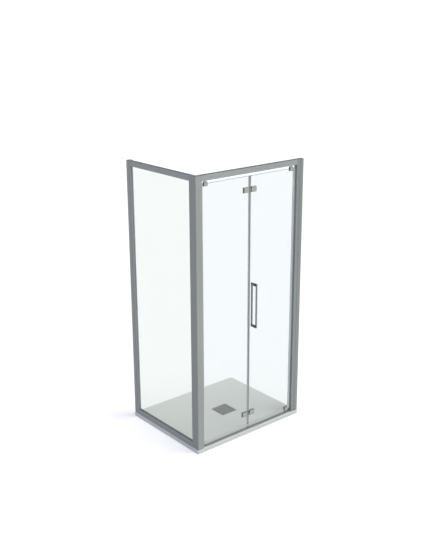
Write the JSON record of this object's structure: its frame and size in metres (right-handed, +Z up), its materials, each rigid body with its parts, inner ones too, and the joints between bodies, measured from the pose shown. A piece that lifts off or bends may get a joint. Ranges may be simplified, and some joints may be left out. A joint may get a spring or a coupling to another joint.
{
  "type": "corner shower enclosure",
  "caption": "Corner shower enclosure: fixed glass side panel, inward folding glass door with a bar handle, and a low tray with a waste.",
  "frame": {"origin": "centre of the tray's underside", "axes": "+Z up; +X along the door towards its wall jamb; +Y from the door towards the back wall; the side panel is on the -X side"},
  "size_m": [1, 0.817, 2.027],
  "materials": {
    "tray_resin": "matte cast resin",
    "clear_glass": "clear, polished edges",
    "drain_steel": "dull brushed",
    "frame_aluminium": "satin anodised",
    "end_cap": "satin moulded",
    "satin_hardware": "satin",
    "handle_steel": "satin",
    "screw_steel": "bright",
    "clear_seal": "translucent",
    "grey_seal": "soft satin",
    "gasket_rubber": "matte",
    "nylon": "natural nylon"
  },
  "bodies": {
    "enclosure": {"shower_tray": "tray_resin", "corner_post": "frame_aluminium", "post_cap": "end_cap", "strike_seal": "clear_seal", "side_top_rail": "frame_aluminium", "side_bottom_rail": "frame_aluminium", "rail_end_blocks": "nylon", "side_glass": "clear_glass", "outer_glazing_gasket": "gasket_rubber", "inner_glazing_gasket": "gasket_rubber", "door_jamb_profile": "frame_aluminium", "door_wall_channel": "frame_aluminium", "door_jamb_cap": "end_cap", "door_lock_screws": "screw_steel", "side_jamb_profile": "frame_aluminium", "side_wall_channel": "frame_aluminium", "side_jamb_cap": "end_cap", "side_lock_screws": "screw_steel", "header_rail": "frame_aluminium", "header_end_blocks": "nylon", "top_pivot_bearing": "nylon", "threshold_strip": "frame_aluminium", "bottom_pivot_bush": "nylon"},
    "pivot_leaf": {"pivot_leaf_glass": "clear_glass", "top_pivot_clamp": "satin_hardware", "top_pivot_clamp_plate": "satin_hardware", "bottom_pivot_clamp": "satin_hardware", "bottom_pivot_clamp_plate": "satin_hardware", "pivot_clamp_screws": "screw_steel", "top_pivot_pin": "screw_steel", "bottom_pivot_pin": "screw_steel", "jamb_edge_seal": "clear_seal", "pivot_fold_seal": "grey_seal", "pivot_drip_seal": "clear_seal", "handle_grip": "handle_steel", "handle_inner_bar": "handle_steel", "handle_screws": "screw_steel", "handle_washers": "gasket_rubber", "upper_hinge_pivot_plate": "satin_hardware", "lower_hinge_pivot_plate": "satin_hardware", "pivot_hinge_backplates": "satin_hardware", "pivot_hinge_screws": "screw_steel", "upper_hinge_pin": "screw_steel", "lower_hinge_pin": "screw_steel"},
    "sliding_leaf": {"sliding_leaf_glass": "clear_glass", "guide_clamp": "satin_hardware", "guide_clamp_plate": "satin_hardware", "guide_clamp_screws": "screw_steel", "guide_pin": "screw_steel", "closing_edge_seal": "clear_seal", "sliding_fold_seal": "grey_seal", "sliding_drip_seal": "clear_seal", "upper_hinge_sliding_plate": "satin_hardware", "lower_hinge_sliding_plate": "satin_hardware", "sliding_hinge_backplates": "satin_hardware", "sliding_hinge_screws": "screw_steel"},
    "guide_carriage": {"guide_slider": "nylon"},
    "drain_cover": {"drain_cover": "drain_steel"}
  },
  "joints": [
    {"name": "pivot_leaf_turn", "type": "hinge", "parent": "enclosure", "child": "pivot_leaf", "pos_m": [0.398, -0.373, 1], "axis": [0, 0, -1], "range_deg": [0, 68]},
    {"name": "leaf_fold", "type": "hinge", "parent": "pivot_leaf", "child": "sliding_leaf", "pos_m": [0.0015, -0.38, 1], "axis": [0, 0, 1], "range_deg": [0, 136]},
    {"name": "carriage_turn", "type": "hinge", "parent": "sliding_leaf", "child": "guide_carriage", "pos_m": [-0.395, -0.373, 1.998], "axis": [0, 0, -1], "range_deg": [0, 68]},
    {"name": "drain_cover_lift", "type": "slide", "parent": "enclosure", "child": "drain_cover", "axis": [0, 0, 1], "range_m": [0, 0.1]}
  ],
  "couplings": [
    {"joint": "leaf_fold", "follows": "pivot_leaf_turn", "ratio": 2},
    {"joint": "carriage_turn", "follows": "pivot_leaf_turn", "ratio": 1}
  ]
}
